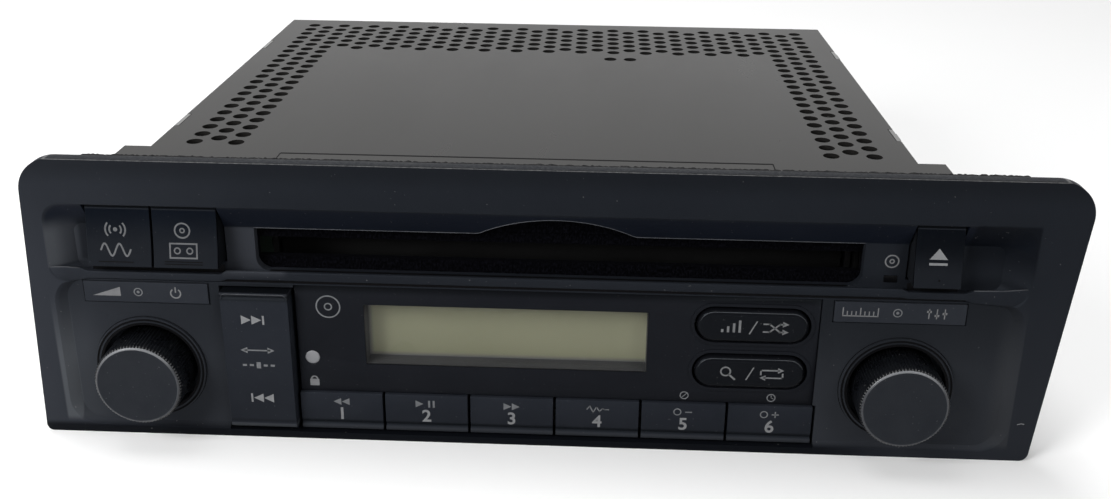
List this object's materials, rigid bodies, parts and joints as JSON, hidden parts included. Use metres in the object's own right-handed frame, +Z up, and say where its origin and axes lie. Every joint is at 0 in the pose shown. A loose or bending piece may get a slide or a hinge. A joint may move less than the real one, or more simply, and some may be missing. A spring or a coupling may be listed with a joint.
{
  "type": "car cd player",
  "caption": "Slot-loading dashboard radio and CD player: bezel with push-and-turn knobs, preset keys, seek rocker and display window, on a perforated steel chassis with a disc deck.",
  "frame": {"origin": "middle of the chassis underside", "axes": "+X to the right as the driver sees the face, +Y into the dashboard, +Z up"},
  "size_m": [0.2185, 0.1908, 0.064],
  "materials": {
    "cover_steel": "satin",
    "frame_plastic": "satin",
    "chassis_steel": "satin",
    "deck_steel": "satin",
    "bezel_plastic": "fine grain",
    "button_plastic": "satin",
    "pill_plastic": "gloss",
    "knob_plastic": "satin",
    "panel_plastic": "satin gloss",
    "clear_window": "clear",
    "lcd_glass": "gloss",
    "label_plastic": "satin",
    "lamp_plastic": "milky",
    "white_plastic": "satin",
    "black_plastic": "satin",
    "foam": "foam",
    "felt": "felt",
    "board": "gloss",
    "rubber": "matt",
    "bright_steel": "bright",
    "aluminium": "satin"
  },
  "bodies": {
    "chassis": {"top_cover": "cover_steel", "front_frame": "frame_plastic", "bottom_cover": "chassis_steel", "left_side_plate": "chassis_steel", "right_side_plate": "chassis_steel", "rear_panel": "chassis_steel", "deck_plate": "deck_steel", "front_bezel": "bezel_plastic", "display_panel": "panel_plastic", "display_window": "clear_window", "lcd_module": "lcd_glass", "label_plates": "label_plastic", "indicator_lamps": "lamp_plastic", "lcd_holder": "white_plastic", "harness_connector": "white_plastic", "tact_switches": "black_plastic", "power_amplifier": "black_plastic", "disc_guide": "black_plastic", "foam_seal": "foam", "slot_felt": "felt", "control_board": "board", "main_board": "board", "deck_dampers": "rubber", "loading_belt": "rubber", "volume_encoder": "bright_steel", "tune_encoder": "bright_steel", "guide_rods": "bright_steel", "spindle_motor": "bright_steel", "sled_motor": "bright_steel", "loading_motor": "bright_steel", "antenna_socket": "bright_steel", "deck_screws": "bright_steel", "chassis_screws": "bright_steel", "board_screws": "bright_steel", "heat_sink": "aluminium"},
    "volume_rotor": {"volume_rotor": "black_plastic"},
    "volume_knob": {"volume_knob": "knob_plastic", "volume_shaft": "bright_steel"},
    "tune_rotor": {"tune_rotor": "black_plastic"},
    "tune_knob": {"tune_knob": "knob_plastic", "tune_shaft": "bright_steel"},
    "preset_1": {"preset_button_1": "button_plastic"},
    "preset_2": {"preset_button_2": "button_plastic"},
    "preset_3": {"preset_button_3": "button_plastic"},
    "preset_4": {"preset_button_4": "button_plastic"},
    "preset_5": {"preset_button_5": "button_plastic"},
    "preset_6": {"preset_button_6": "button_plastic"},
    "band": {"band_button": "button_plastic"},
    "source": {"source_button": "button_plastic"},
    "eject": {"eject_button": "button_plastic"},
    "select": {"select_button": "pill_plastic"},
    "scan": {"scan_button": "pill_plastic"},
    "seek_rocker": {"seek_rocker": "button_plastic"},
    "turntable": {"turntable": "black_plastic"},
    "pickup_sled": {"pickup_sled": "black_plastic"},
    "lead_screw": {"lead_screw": "bright_steel"},
    "clamp_arm": {"clamp_arm": "deck_steel"},
    "clamper": {"clamper": "black_plastic"},
    "loading_roller": {"loading_roller": "rubber"},
    "motor_pulley": {"motor_pulley": "white_plastic"}
  },
  "joints": [
    {"name": "volume_turn", "type": "hinge", "parent": "chassis", "child": "volume_rotor", "pos_m": [-0.0798, -0.1033, 0.012], "axis": [0, 1, 0], "continuous": true},
    {"name": "volume_push", "type": "slide", "parent": "volume_rotor", "child": "volume_knob", "axis": [0, 1, 0], "range_m": [0, 0.001], "stiffness_N_per_m": 300, "springref_m": -0.0005},
    {"name": "tune_turn", "type": "hinge", "parent": "chassis", "child": "tune_rotor", "pos_m": [0.0798, -0.1033, 0.012], "axis": [0, 1, 0], "continuous": true},
    {"name": "tune_push", "type": "slide", "parent": "tune_rotor", "child": "tune_knob", "axis": [0, 1, 0], "range_m": [0, 0.001], "stiffness_N_per_m": 300, "springref_m": -0.0005},
    {"name": "preset_1_press", "type": "slide", "parent": "chassis", "child": "preset_1", "axis": [0, 1, 0], "range_m": [0, 0.001], "stiffness_N_per_m": 300, "springref_m": -0.0005},
    {"name": "preset_2_press", "type": "slide", "parent": "chassis", "child": "preset_2", "axis": [0, 1, 0], "range_m": [0, 0.001], "stiffness_N_per_m": 300, "springref_m": -0.0005},
    {"name": "preset_3_press", "type": "slide", "parent": "chassis", "child": "preset_3", "axis": [0, 1, 0], "range_m": [0, 0.001], "stiffness_N_per_m": 300, "springref_m": -0.0005},
    {"name": "preset_4_press", "type": "slide", "parent": "chassis", "child": "preset_4", "axis": [0, 1, 0], "range_m": [0, 0.001], "stiffness_N_per_m": 300, "springref_m": -0.0005},
    {"name": "preset_5_press", "type": "slide", "parent": "chassis", "child": "preset_5", "axis": [0, 1, 0], "range_m": [0, 0.001], "stiffness_N_per_m": 300, "springref_m": -0.0005},
    {"name": "preset_6_press", "type": "slide", "parent": "chassis", "child": "preset_6", "axis": [0, 1, 0], "range_m": [0, 0.001], "stiffness_N_per_m": 300, "springref_m": -0.0005},
    {"name": "band_press", "type": "slide", "parent": "chassis", "child": "band", "axis": [0, 1, 0], "range_m": [0, 0.001], "stiffness_N_per_m": 300, "springref_m": -0.0005},
    {"name": "source_press", "type": "slide", "parent": "chassis", "child": "source", "axis": [0, 1, 0], "range_m": [0, 0.001], "stiffness_N_per_m": 300, "springref_m": -0.0005},
    {"name": "eject_press", "type": "slide", "parent": "chassis", "child": "eject", "axis": [0, 1, 0], "range_m": [0, 0.001], "stiffness_N_per_m": 300, "springref_m": -0.0005},
    {"name": "select_press", "type": "slide", "parent": "chassis", "child": "select", "axis": [0, 1, 0], "range_m": [0, 0.001], "stiffness_N_per_m": 300, "springref_m": -0.0005},
    {"name": "scan_press", "type": "slide", "parent": "chassis", "child": "scan", "axis": [0, 1, 0], "range_m": [0, 0.001], "stiffness_N_per_m": 300, "springref_m": -0.0005},
    {"name": "seek_rock", "type": "hinge", "parent": "chassis", "child": "seek_rocker", "pos_m": [-0.0556, -0.0948, 0.0147], "axis": [1, 0, 0], "range_deg": [-2.5, 2.5], "stiffness_Nm_per_rad": 0.2},
    {"name": "turntable_spin", "type": "hinge", "parent": "chassis", "child": "turntable", "pos_m": [0.0076, -0.0133, 0.03], "axis": [0, 0, 1], "continuous": true},
    {"name": "sled_slide", "type": "slide", "parent": "chassis", "child": "pickup_sled", "axis": [0, 1, 0], "range_m": [0, 0.034]},
    {"name": "lead_screw_spin", "type": "hinge", "parent": "chassis", "child": "lead_screw", "pos_m": [0.034, 0.0167, 0.03145], "axis": [0, 1, 0], "continuous": true},
    {"name": "clamp_lower", "type": "hinge", "parent": "chassis", "child": "clamp_arm", "pos_m": [0.0076, 0.0487, 0.04315], "axis": [1, 0, 0], "range_deg": [0, 3.5], "stiffness_Nm_per_rad": 0.3, "springref_deg": -5.73},
    {"name": "clamper_spin", "type": "hinge", "parent": "clamp_arm", "child": "clamper", "pos_m": [0.0076, -0.0133, 0.0425], "axis": [0, 0, 1], "continuous": true},
    {"name": "roller_spin", "type": "hinge", "parent": "chassis", "child": "loading_roller", "pos_m": [0.0076, -0.0793, 0.03265], "axis": [1, 0, 0], "continuous": true},
    {"name": "pulley_spin", "type": "hinge", "parent": "chassis", "child": "motor_pulley", "pos_m": [0.074, -0.0533, 0.03105], "axis": [1, 0, 0], "continuous": true}
  ],
  "couplings": [
    {"joint": "lead_screw_spin", "follows": "sled_slide", "rad_per_m": 2094.4},
    {"joint": "pulley_spin", "follows": "roller_spin", "ratio": 2.0833}
  ]
}
